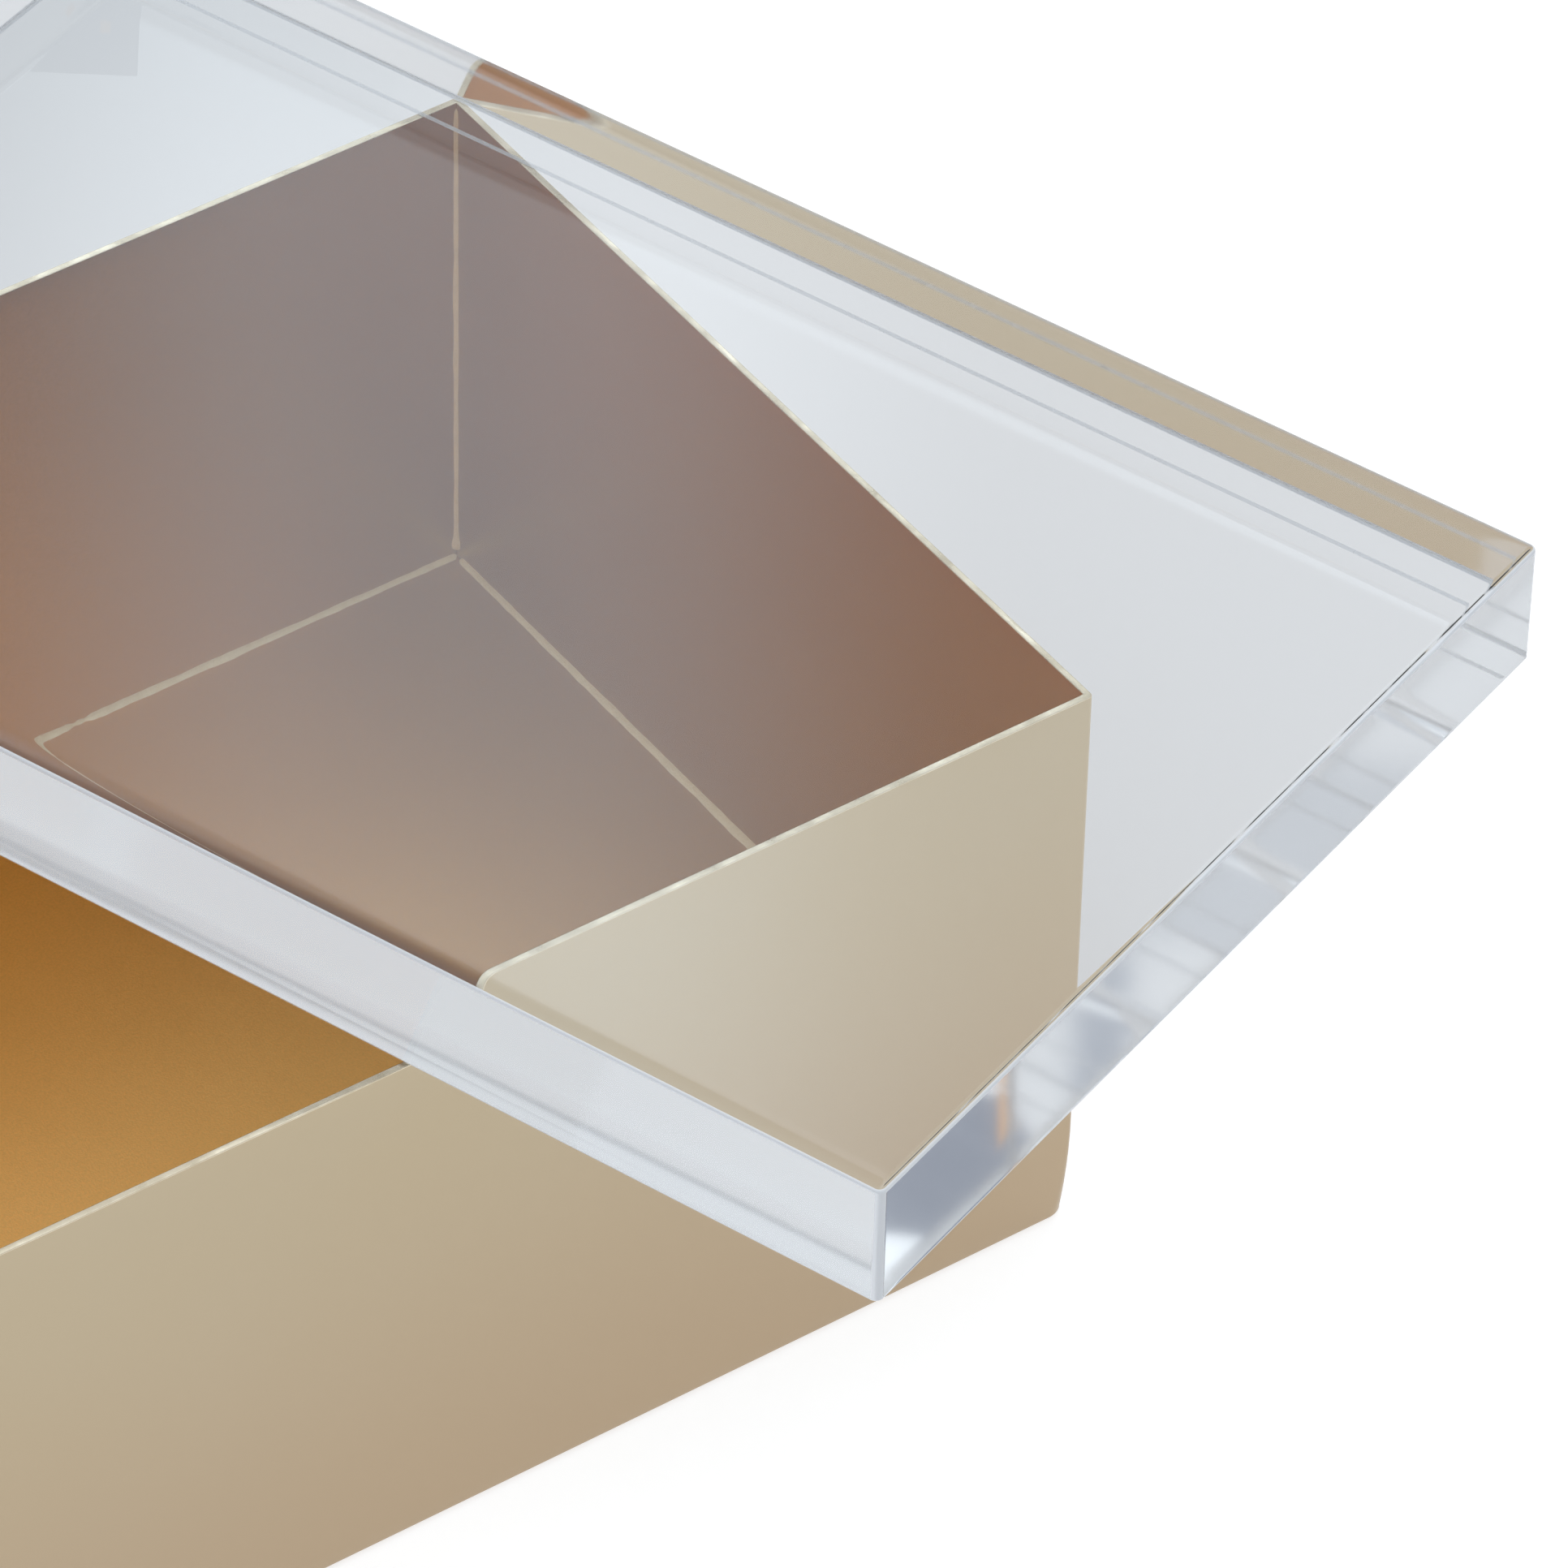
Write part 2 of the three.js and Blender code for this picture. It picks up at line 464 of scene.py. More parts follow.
def corner_radius_at(z):
    """The radius of the box's outer corners at a height."""
    start = METAL_BOTTOM_Z + FOOT_EDGE_RADIUS
    share = min(1.0, max(0.0, (z - start) / FOOT_ROUNDING_HEIGHT))
    return RIM_CORNER_RADIUS + (FOOT_CORNER_RADIUS - RIM_CORNER_RADIUS) * (1 - share) ** 2


def walk_round_corner(distance, radius):
    """Where the outline is, after walking that far from the corner zone's start on a long side.

    The zone reaches FOOT_CORNER_RADIUS each way from the corner. The result is how far that point
    is from the end face's plane and from the long side's plane.
    """
    lead = FOOT_CORNER_RADIUS - radius
    arc = radius * QUARTER_TURN
    if distance <= lead:
        return FOOT_CORNER_RADIUS - distance, 0.0
    if distance <= lead + arc:
        angle = (distance - lead) / radius
        return radius - radius * math.sin(angle), radius - radius * math.cos(angle)
    return 0.0, radius + distance - lead - arc


def walk_to_joint(radius):
    """How far it is from the corner zone's start to where an end wall meets a long one."""
    lead = FOOT_CORNER_RADIUS - radius
    if radius > SHEET:
        return lead + radius * math.acos(1 - SHEET / radius)
    return lead + radius * QUARTER_TURN + SHEET - radius


def corner_rib(share, z, is_long_wall):
    """A rib from the outer to the inner face near a corner, at share 0 on the joint, 1 clear of it.

    Each end is (distance along the wall from the box's corner, distance in from the outer face).
    """
    radius = corner_radius_at(z)
    joint = walk_to_joint(radius)
    if is_long_wall:
        from_end, from_side = walk_round_corner(joint * (1 - share), radius)
        outer = (from_end, from_side)
    else:
        whole = 2 * (FOOT_CORNER_RADIUS - radius) + radius * QUARTER_TURN
        from_end, from_side = walk_round_corner(joint + (whole - joint) * share, radius)
        outer = (from_side, from_end)
    along = SHEET + (FOOT_CORNER_RADIUS - SHEET) * share
    return outer, (along, SHEET)


def wall_section(sheet_settings):
    """The wall's upright section as (share of the way through the sheet, height, finish)."""
    arris = sheet_settings.rim_arris_radius
    rows = 22
    arc_steps = 4
    crowding_at_foot = 1.2
    foot = METAL_BOTTOM_Z + FOOT_EDGE_RADIUS
    shoulder = RIM_Z - arris
    section = []
    for i in range(arc_steps + 1):
        angle = i / arc_steps * QUARTER_TURN
        depth = FOOT_EDGE_RADIUS * (1 - math.sin(angle))
        section.append((depth / SHEET, foot - FOOT_EDGE_RADIUS * math.cos(angle), OUTSIDE))
    for i in range(1, rows + 1):
        share = (i / rows) ** crowding_at_foot
        section.append((0.0, foot + (shoulder - foot) * share, OUTSIDE))
    for i in range(1, arc_steps + 1):
        angle = i / arc_steps * QUARTER_TURN
        depth = arris * (1 - math.cos(angle))
        finish = CUT_EDGE if i == arc_steps else BURNISHED
        section.append((depth / SHEET, shoulder + arris * math.sin(angle), finish))
    for i in range(arc_steps):
        angle = i / arc_steps * QUARTER_TURN
        depth = arris * (1 - math.sin(angle))
        section.append((1 - depth / SHEET, shoulder + arris * math.cos(angle), BURNISHED))
    for i in range(rows + 1):
        share = 1 - i / rows
        section.append((1.0, METAL_BOTTOM_Z + (shoulder - METAL_BOTTOM_Z) * share, INSIDE))
    return section


def wall_positions(half):
    """The ribs along a wall, as ("corner", which end, share of its zone) or ("straight", place, 0)."""
    corner_steps = 14
    straight_step = 2.4 * MM
    ribs = [("corner", -1, i / corner_steps) for i in range(corner_steps + 1)]
    reach = half - FOOT_CORNER_RADIUS
    steps = round(2 * reach / straight_step)
    ribs += [("straight", -reach + 2 * reach * i / steps, 0) for i in range(1, steps)]
    ribs += [("corner", 1, 1 - i / corner_steps) for i in range(corner_steps + 1)]
    return ribs


def build_wall(name, turn, half_along, face_distance, is_long_wall, settings, finishes, seed):
    """One wall: its section set on every rib, with shallow dents and an uneven cut rim."""
    section = wall_section(settings)
    ribs = wall_positions(half_along)
    rotation = Matrix.Rotation(turn, 3, "Z")
    dent_size = 48 * MM
    dent_fade = 20 * MM
    # The dents are deepest this many times half the wall's height up, and there are none at its foot.
    dent_reach = 1.3
    tear_size, burr_size = 1.6 * MM, 0.45 * MM
    height = RIM_Z - METAL_BOTTOM_Z
    vertices = []
    for kind, where, share in ribs:
        for through, z, finish in section:
            if kind == "corner":
                outer, inner = corner_rib(share, z, is_long_wall)
                along_outer = where * (half_along - outer[0])
                along_inner = where * (half_along - inner[0])
                in_outer, in_inner = outer[1], inner[1]
            else:
                along_outer = along_inner = where
                in_outer, in_inner = 0.0, SHEET
            along = along_outer + (along_inner - along_outer) * through
            inward = in_outer + (in_inner - in_outer) * through
            if kind == "straight":
                swell = math.sin(math.pi * (z - METAL_BOTTOM_Z) / height / dent_reach) ** 2
                ends = min(1.0, (half_along - FOOT_CORNER_RADIUS - abs(where)) / dent_fade)
                wander = 0.5 + 0.5 * soft_noise(along, z, dent_size, seed)
                inward += settings.dent_depth * swell * ends * wander
            if finish == CUT_EDGE:
                ragged = 0.5 + soft_noise(along, 0.0, tear_size, seed + 3.3) * 0.5
                ragged += soft_noise(along, through * MM, burr_size, seed + 7.7) * 0.5
                z -= settings.rim_raggedness * max(0.0, ragged)
            point = rotation @ Vector((along, -face_distance + inward, 0))
            vertices.append((point.x, point.y, z))
    size = len(section)
    faces = []
    finish_of_face = []
    for ring in range(len(ribs) - 1):
        for i in range(size):
            j = (i + 1) % size
            here, there = ring * size, (ring + 1) * size
            faces.append((here + i, here + j, there + j, there + i))
            finish_of_face.append(max(section[i][2], section[j][2]) if j else OUTSIDE)
    last = (len(ribs) - 1) * size
    faces.append(tuple(range(size)))
    faces.append(tuple(last + i for i in range(size)))
    finish_of_face += [OUTSIDE, OUTSIDE]
    add_piece(
        f"{name}_sheet", vertices, faces, finishes, "box", [name], finish_of_face
    )


# ---- Floor and pad ----


def rounded_outline(half_x, half_y, radius, arc_steps):
    """A rounded rectangle's points, mirrored about the Y axis from first to last."""
    points = []
    corners = [(1, -1, -90), (1, 1, 0), (-1, 1, 90), (-1, -1, 180)]
    for side_x, side_y, start in corners:
        for i in range(arc_steps + 1):
            angle = math.radians(start + 90 * i / arc_steps)
            x = side_x * (half_x - radius) + radius * math.cos(angle)
            y = side_y * (half_y - radius) + radius * math.sin(angle)
            points.append((x, y))
    return points


def slab_mesh(profile, half_x, half_y, corner_radius, least_radius, arc_steps):
    """A closed slab from a profile of (inset from the outline, height), bottom middle to top."""
    vertices = []
    for inset, z in profile:
        radius = max(least_radius, corner_radius - inset)
        for x, y in rounded_outline(half_x - inset, half_y - inset, radius, arc_steps):
            vertices.append((x, y, z))
    size = 4 * (arc_steps + 1)
    faces = loop_faces(len(profile), size)
    faces += ladder_faces(0, size)
    faces += ladder_faces((len(profile) - 1) * size, size)
    return vertices, faces


def build_floor(finish):
    """The floor sheet: a plate with a fine grid, so that it can be very slightly uneven."""
    low, high = FLOOR_LOW, FLOOR_HIGH
    cell = 4 * MM
    uneven = 0.05 * MM
    hollow_size = 40 * MM
    flat_border_cells = 3
    seed = 5.5
    across = round((high.x - low.x) / cell)
    deep = round((high.y - low.y) / cell)
    vertices = []
    for level in (low.z, high.z):
        for row in range(deep + 1):
            for column in range(across + 1):
                x = low.x + (high.x - low.x) * column / across
                y = low.y + (high.y - low.y) * row / deep
                edge = min(column, row, across - column, deep - row)
                hollow = 0.5 + 0.5 * soft_noise(x, y, hollow_size, seed)
                border = min(1.0, edge / flat_border_cells)
                drop = uneven * hollow * border if level == high.z else 0.0
                vertices.append((x, y, level - drop))
    faces = []
    row_size = across + 1
    layer = row_size * (deep + 1)
    for base in (0, layer):
        for row in range(deep):
            for column in range(across):
                a = base + row * row_size + column
                faces.append((a, a + 1, a + 1 + row_size, a + row_size))
    rim = list(range(across))
    rim += [across + row * row_size for row in range(deep)]
    rim += [deep * row_size + column for column in range(across, 0, -1)]
    rim += [row * row_size for row in range(deep, 0, -1)]
    for here, there in zip(rim, rim[1:] + rim[:1]):
        faces.append((here, there, there + layer, here + layer))
    add_piece("floor_sheet", vertices, faces, [finish], "box", ["floor_plate"])


def build_felt(settings, finish):
    """The felt pad: a flat pad with soft rounded edges, between the walls and the table."""
    low, high = FELT_LOW, FELT_HIGH
    radius = settings.pad_edge_radius
    steps = 5
    border = 6 * MM
    corner_radius, least_radius = 2 * MM, 0.8 * MM
    arc_steps = 6
    profile = [(border, low.z), (2 * radius, low.z)]
    for i in range(steps + 1):
        angle = i / steps * QUARTER_TURN
        profile.append((radius * (1 - math.sin(angle)), low.z + radius * (1 - math.cos(angle))))
    for i in range(steps + 1):
        angle = i / steps * QUARTER_TURN
        profile.append((radius * (1 - math.cos(angle)), high.z - radius * (1 - math.sin(angle))))
    profile += [(2 * radius, high.z), (border, high.z)]
    vertices, faces = slab_mesh(profile, high.x, high.y, corner_radius, least_radius, arc_steps)
    add_piece("felt_base_pad", vertices, faces, [finish], "box", ["felt_pad"])


# ---- Solder ----


def build_bead(
    name, start, end, side_a, side_b, legs, settings, finish, seed, drop_at=None, break_at=None
):
    """A run of solder in the corner between two faces, from start to end.

    side_a and side_b point from the seam along the two faces. The run is uneven, and may end in a
    drop or be scratched thin at one place, each a distance from its start in metres. legs are how
    far it reaches along the faces at its start and at its end.
    """
    step = 0.5 * MM
    across = 6
    end_round = 0.8 * MM
    slow_swell, slow_size = 0.22, 7 * MM
    quick_swell, quick_size = 0.12, 1.6 * MM
    drop_swell, drop_size = 0.75, 1.1 * MM
    break_size, scratch_spacing = 2.4 * MM, 0.32 * MM
    least_scratch, scratch_swing = 0.25, 0.5
    blunt_end = 0.04
    most_lean, lean_size = 0.14, 4 * MM
    lump_height, lump_size = 0.05, 1.1 * MM
    length = (end - start).length
    along = (end - start) / length
    count = round(length / step) + 1
    vertices = []
    for i in range(count):
        s = length * i / (count - 1)
        from_end = min(s, length - s)
        taper = math.sqrt(max(blunt_end, 1 - max(0.0, 1 - from_end / end_round) ** 2))
        swell = 1 + slow_swell * soft_noise(s, 0.0, slow_size, seed)
        swell += quick_swell * soft_noise(s, 0.0, quick_size, seed + 5)
        if drop_at is not None:
            swell += drop_swell * math.exp(-(((s - drop_at) / drop_size) ** 2))
        if break_at is not None:
            gap = math.exp(-(((s - break_at) / break_size) ** 2))
            scratch = 0.5 + 0.5 * math.sin(s / scratch_spacing)
            swell *= 1 - gap * (least_scratch + scratch_swing * scratch)
        lean = most_lean * soft_noise(s, 0.0, lean_size, seed + 9)
        leg = legs[0] + (legs[1] - legs[0]) * s / length
        leg_a = leg * taper * swell * (1 + lean)
        leg_b = leg * taper * swell * (1 - lean)
        centre = start + along * s
        vertices.append(centre)
        for k in range(across + 1):
            t = k / across
            hollow = 1 - settings.bead_hollow * 4 * t * (1 - t)
            lump = 1 + lump_height * soft_noise(s, t * MM, lump_size, seed + 13)
            reach = hollow * lump
            vertices.append(centre + side_a * leg_a * (1 - t) * reach + side_b * leg_b * t * reach)
    size = across + 2
    faces = loop_faces(count, size)
    faces.append(tuple(range(size)))
    faces.append(tuple((count - 1) * size + i for i in range(size)))
    add_piece(f"{name}_solder", vertices, faces, [finish], "box", [name])


# ---- Lid ----


def edge_profile(width, bevel, roll, arris, roll_steps, arris_steps):
    """A slab face's outer zone as (inset, drop), from its inner line out to the upright side.

    A narrow flat ring comes first, then the face falls by a straight bevel and a growing roll, and
    turns down through the arris.
    """
    roll_power = 3
    ring_width = 0.7 * MM
    slope = math.atan((bevel + roll * roll_power) / width)
    arris_width = arris * (1 - math.sin(slope))
    points = [(width + ring_width, 0.0), (width, 0.0)]
    for i in range(1, roll_steps + 1):
        share = i / roll_steps
        inset = width + (arris_width - width) * share
        points.append((inset, bevel * share + roll * share ** roll_power))
    for i in range(1, arris_steps + 1):
        angle = slope + (QUARTER_TURN - slope) * i / arris_steps
        drop = bevel + roll + arris * (math.cos(slope) - math.cos(angle))
        points.append((arris * (1 - math.sin(angle)), drop))
    return points


def build_lid(settings, finishes):
    """The loose acrylic slab: rolled faces, eased arrises and rounded upright corners.

    The long sides were buffed hardest, so the roll reaches much further in there than at the ends.
    """
    roll_steps, bevel_steps, arris_steps, arc_steps = 14, 10, 7, 10
    end_share = 0.2
    least_radius = 0.4 * MM
    top_zone = edge_profile(
        settings.roll_width, 0.0, settings.roll_drop, settings.edge_radius, roll_steps, arris_steps
    )
    bottom_zone = edge_profile(
        settings.bevel_width, settings.bevel_drop, 0.0, settings.edge_radius, bevel_steps,
        arris_steps,
    )
    profile = [(inset, LID_LOW.z + drop) for inset, drop in bottom_zone]
    profile += [(inset, LID_HIGH.z - drop) for inset, drop in reversed(top_zone)]
    size = 4 * (arc_steps + 1)
    vertices = []
    for inset, z in profile:
        past_arris = max(0.0, inset - settings.edge_radius)
        end_inset = inset - past_arris * (1 - end_share)
        radius = max(least_radius, settings.corner_radius - inset)
        half_x, half_y = LID_LENGTH / 2 - end_inset, LID_WIDTH / 2 - inset
        for x, y in rounded_outline(half_x, half_y, radius, arc_steps):
            vertices.append((x, y, z))
    faces = loop_faces(len(profile), size)
    side = len(bottom_zone) - 1
    # The back side comes after the right corners' two arcs. Only the middle of each arc is scraped.
    back_side = 2 * arc_steps + 1
    scraped_steps = 8
    finish_of_face = []
    for row in range(len(profile) - 1):
        for i in range(size):
            from_corner = abs(i % (arc_steps + 1) - (arc_steps - 1) / 2)
            if row == side:
                finish = SCRAPED if from_corner < scraped_steps / 2 else POLISHED_SIDE
            elif abs(row - side) <= arris_steps:
                finish = SCRAPED
            elif row == 0 and i == back_side:
                finish = SCUFFED
            else:
                finish = POLISHED_FACE
            finish_of_face.append(finish)
    for ring in (0, len(profile) - 1):
        caps = ladder_faces(ring * size, size)
        faces += caps
        finish_of_face += [POLISHED_FACE] * len(caps)
    centre = (LID_LOW + LID_HIGH) / 2
    place = Matrix.Translation((centre.x, centre.y, 0)) @ Matrix.Rotation(LID_TURN, 4, "Z")
    placed = [place @ Vector(point) for point in vertices]
    slab = add_piece(
        "acrylic_slab", placed, faces, finishes, "lid", ["acrylic_lid"], finish_of_face
    )
    # The large faces stay optically flat right up to the roll and the arrises.
    flat = slab.modifiers.new("flat_faces", "WEIGHTED_NORMAL")
    flat.mode = "FACE_AREA"
    flat.weight = 100


# ---- Settings ----


def metres(name, description, size):
    """A length that a user can change, in metres."""
    return bpy.props.FloatProperty(
        name=name, description=description, default=size, subtype="DISTANCE", unit="LENGTH"
    )


def tint(name, description, hex_colour):
    """A colour that a user can change."""
    return bpy.props.FloatVectorProperty(
        name=name, description=description, default=linear(hex_colour), size=4, subtype="COLOR"
    )


class SheetSettings(bpy.types.PropertyGroup):
    """Sizes and colours of the gilt sheet metal."""

    rim_arris_radius: metres("Rim arris", "Radius of the rim's two edges", 0.17 * MM)
    rim_raggedness: metres("Rim raggedness", "How far the cut rim dips in places", 0.04 * MM)
    dent_depth: metres("Dent depth", "How far the walls are hollow in places", 0.12 * MM)
    outer_colour: tint("Outside", "Champagne gilding outside", "#B4A790")
    outer_warm_colour: tint("Outside, warm", "The same where it is warmer", "#B3A387")
    # Painted shade: the deeper colour at the foot stands for the darker ground mirrored there.
    outer_foot_shade_colour: tint("Outside, foot", "The gilding's deeper colour at the foot", "#B19D83")
    inner_colour: tint("Inside", "Deeper gold plating inside", "#DDB971")
    inner_deep_colour: tint("Inside, deep", "The same where it is deeper", "#D6B067")
    floor_colour: tint("Floor", "Deeper gold plating on the floor", "#E8B772")
    floor_deep_colour: tint("Floor, deep", "The same where it is deeper", "#DFAE68")
    # Partly a painted highlight: the arrises' pale colour makes them shine as thin bright lines.
    arris_colour: tint("Rim arris", "Burnished gilding along the rim's arrises", "#F4EAD4")
    # Painted shade: the cut edge's dark grey-brown stands for the dark reflection in the rim's flat top.
    edge_shade_colour: tint("Cut edge", "Bare metal along the rim", "#7A6A56")
    edge_dark_colour: tint("Cut edge, dark", "The same in its scratches", "#4A3E30")


class SolderSettings(bpy.types.PropertyGroup):
    """Sizes and colours of the solder in the seams."""

    bead_leg: metres("Floor bead leg", "How far the solder reaches from the floor's seams", 0.6 * MM)
    far_bead_leg: metres("Floor bead leg, far end", "The same at the end of each run", 1.15 * MM)
    upright_leg: metres("Upright bead leg", "How far it reaches from the upright corners", 0.48 * MM)
    bead_hollow: bpy.props.FloatProperty(
        name="Bead hollow", description="How hollow the solder's face is, as a share of its leg",
        default=0.12, subtype="FACTOR", min=0, max=0.6,
    )
    solder_colour: tint("Solder", "Bright plated solder", "#FFF0CC")
    solder_dull_colour: tint("Solder, dull", "The same where it is dull", "#F6DFB0")


class LidSettings(bpy.types.PropertyGroup):
    """Sizes and colours of the acrylic slab."""

    corner_radius: metres("Corner radius", "Radius of the lid's upright corners", 1.2 * MM)
    edge_radius: metres("Arris radius", "Radius of the lid's long edges", 0.5 * MM)
    roll_width: metres("Roll-off width", "Width over which polishing rolled the top face off", 3.8 * MM)
    roll_drop: metres("Roll-off drop", "How far the top face drops at its edges", 0.36 * MM)
    bevel_width: metres(
        "Underside bevel width", "Width of the shallow bevel under the long sides", 5.2 * MM
    )
    bevel_drop: metres("Underside bevel height", "How far that bevel rises at the edge", 0.02 * MM)
    lid_colour: tint("Acrylic", "Tint of the slab's faces", "#F9FBFC")
    lid_edge_colour: tint("Acrylic edge", "Tint of the slab's edges", "#F7FAFC")
    arris_colour: tint("Acrylic arris", "Tint of the scraped arrises", "#EDF1F6")


class PadSettings(bpy.types.PropertyGroup):
    """Sizes and colours of the felt pad."""

    pad_edge_radius: metres("Pad edge radius", "Softness of the felt's edges", 0.5 * MM)
    felt_colour: tint("Felt", "Dark wool", "#2B2926")
    felt_light_colour: tint("Felt, light", "Paler fibres in it", "#4A4640")


class StudioSettings(bpy.types.PropertyGroup):
    """The studio round the object."""

    surround_colour: tint("Surround", "Soft light from all round", "#DEE0E3")
    softbox_colour: tint("Softbox", "Brighter soft light from high at the back", "#E8F6FF")
    softbox_gain: bpy.props.FloatProperty(
        name="Softbox gain", description="Its brightness in units of white", default=1.25, min=0,
    )
    overhead_gain: bpy.props.FloatProperty(
        name="Overhead gain", description="Brightness of the wide light above", default=0.7, min=0,
    )
    table_colour: tint("Table", "Glow of the table seen through the lid", "#A4A3A4")
    # Painted shadow: the table's darker far side stands for the box's shadow behind it.
    table_back_shadow_colour: tint("Table, back", "The same at its far side", "#737679")


SETTINGS = {
    "gilt_sheet": SheetSettings,
    "gilt_solder": SolderSettings,
    "gilt_lid": LidSettings,
    "gilt_pad": PadSettings,
    "gilt_studio": StudioSettings,
}


# ---- Operators ----


class GILTBOX_OT_walls(bpy.types.Operator):
    """Build the four sheet-metal walls"""

    bl_idname = "giltbox.walls"
    bl_label = "Walls"

    def execute(self, context):
        settings = context.scene.gilt_sheet
        roughness = 0.36
        grain_depth = 0.003 * MM
        finishes = [
            satin_gilt_brass(settings),
            sheared_brass_edge(settings),
            frosted_gilt_brass(
                "frosted_gilt_brass", settings.inner_colour, settings.inner_deep_colour, roughness,
                grain_depth,
            ),
            burnished_highlight_arris(settings),
        ]
        first_seed, seed_step = 2.5, 11.0
        for number, name in enumerate(("front_wall", "right_wall", "back_wall", "left_wall")):
            is_long = number % 2 == 0
            half_along, face_distance = HALF_LENGTH, HALF_WIDTH
            if not is_long:
                half_along, face_distance = HALF_WIDTH, HALF_LENGTH
            seed = first_seed + seed_step * number
            build_wall(
                name, number * QUARTER_TURN, half_along, face_distance, is_long, settings, finishes,
                seed,
            )
        return {"FINISHED"}


class GILTBOX_OT_floor(bpy.types.Operator):
    """Build the floor sheet inside the walls"""

    bl_idname = "giltbox.floor"
    bl_label = "Floor"

    def execute(self, context):
        settings = context.scene.gilt_sheet
        roughness = 0.5
        grain_depth = 0.008 * MM
        finish = frosted_gilt_brass(
            "blasted_gilt_floor", settings.floor_colour, settings.floor_deep_colour, roughness,
            grain_depth,
        )
        build_floor(finish)
        return {"FINISHED"}


class GILTBOX_OT_solder(bpy.types.Operator):
    """Run the solder along the eight inside seams"""

    bl_idname = "giltbox.solder"
    bl_label = "Solder"

    def execute(self, context):
        settings = context.scene.gilt_solder
        finish = gilded_solder(settings)
        inner_x = HALF_LENGTH - SHEET
        inner_y = HALF_WIDTH - SHEET
        inside = {"front": Vector((0, 1, 0)), "back": Vector((0, -1, 0))}
        inside.update({"left": Vector((1, 0, 0)), "right": Vector((-1, 0, 0))})
        up = Vector((0, 0, 1))
        drop_at, break_at = 1.4 * MM, 62 * MM
        seed, seed_step = 20.5, 6.1
        upright_legs = (settings.upright_leg, settings.upright_leg)
        for side in ("back", "front"):
            for end in ("right", "left"):
                name = f"corner_bead_{side}_{end}"
                low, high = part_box(name)
                x = -inside[end].x * inner_x
                y = -inside[side].y * inner_y
                build_bead(
                    name, Vector((x, y, low.z)), Vector((x, y, high.z)), inside[side], inside[end],
                    upright_legs, settings, finish, seed, drop_at=drop_at,
                )
                seed += seed_step
        for side in ("back", "front", "left", "right"):
            name = f"floor_bead_{side}"
            low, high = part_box(name)
            if side in ("back", "front"):
                y = -inside[side].y * inner_y
                start, stop = Vector((high.x, y, FLOOR_Z)), Vector((low.x, y, FLOOR_Z))
            else:
                x = -inside[side].x * inner_x
                start, stop = Vector((x, high.y, FLOOR_Z)), Vector((x, low.y, FLOOR_Z))
            build_bead(
                name, start, stop, inside[side], up, (settings.bead_leg, settings.far_bead_leg),
                settings, finish, seed, break_at=break_at if side == "back" else None,
            )
            seed += seed_step
        return {"FINISHED"}


class GILTBOX_OT_lid(bpy.types.Operator):
    """Build the loose acrylic slab"""

    bl_idname = "giltbox.lid"
    bl_label = "Lid"

    def execute(self, context):
        settings = context.scene.gilt_lid
        finishes = [
            clear_cast_acrylic(settings),
            flame_polished_acrylic(settings),
            scraped_acrylic(settings),
            scuffed_acrylic(settings),
        ]
        build_lid(settings, finishes)
        return {"FINISHED"}


class GILTBOX_OT_pad(bpy.types.Operator):
    """Build the felt pad under the floor"""

    bl_idname = "giltbox.pad"
    bl_label = "Pad"

    def execute(self, context):
        settings = context.scene.gilt_pad
        build_felt(settings, pressed_wool_felt(settings))
        return {"FINISHED"}


def studio_sheet(name, width, depth, place, finish, unseen_by, body=None):
    """A flat sheet of the studio, which some kinds of ray pass by. It may go along with a body."""
    mesh = bpy.data.meshes.new(name)
    x, y = width / 2, depth / 2
    mesh.from_pydata([(-x, -y, 0), (x, -y, 0), (x, y, 0), (-x, y, 0)], [], [(0, 1, 2, 3)])
    mesh.materials.append(finish)
    sheet = bpy.data.objects.new(name, mesh)
    bpy.context.scene.collection.objects.link(sheet)
    sheet.matrix_world = place
    for ray in unseen_by:
        setattr(sheet, f"visible_{ray}", False)
    if body:
        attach(sheet, body)


def backlit_opal_sheet():
    """Opal acrylic lit from below, which the camera sees as a white ground."""
    material, _, shader, _ = new_material("backlit_opal_sheet")
    shader.inputs["Base Color"].default_value = linear("#BCBDBE")
    shader.inputs["Roughness"].default_value = 0.9
    shader.inputs["Emission Color"].default_value = linear("#FFFFFF")
    shader.inputs["Emission Strength"].default_value = 0.7
    return material


def backlit_table(settings):
    """The same opal sheet as it shows through the lid: greyer, and darker towards its back, a painted
    shadow behind the box.
    """
    material, tree, shader, place = new_material("backlit_table")
    fade_start, fade_end = 90 * MM, 260 * MM
    back = add_node(tree, "ShaderNodeSeparateXYZ", {"Vector": place}).outputs["Y"]
    share = add_node(
        tree,
        "ShaderNodeMapRange",
        {"Value": back, "From Min": fade_start, "From Max": fade_end},
        interpolation_type="SMOOTHSTEP",
    )
    glow = add_node(
        tree,
        "ShaderNodeMix",
        {
            "Factor": share.outputs["Result"],
            "A": tuple(settings.table_colour),
            "B": tuple(settings.table_back_shadow_colour),
        },
        data_type="RGBA",
    )
    tree.links.new(glow.outputs["Result"], shader.inputs["Emission Color"])
    shader.inputs["Emission Strength"].default_value = 1.0
    shader.inputs["Base Color"].default_value = linear("#A4A5A6")
    shader.inputs["Roughness"].default_value = 0.9
    return material


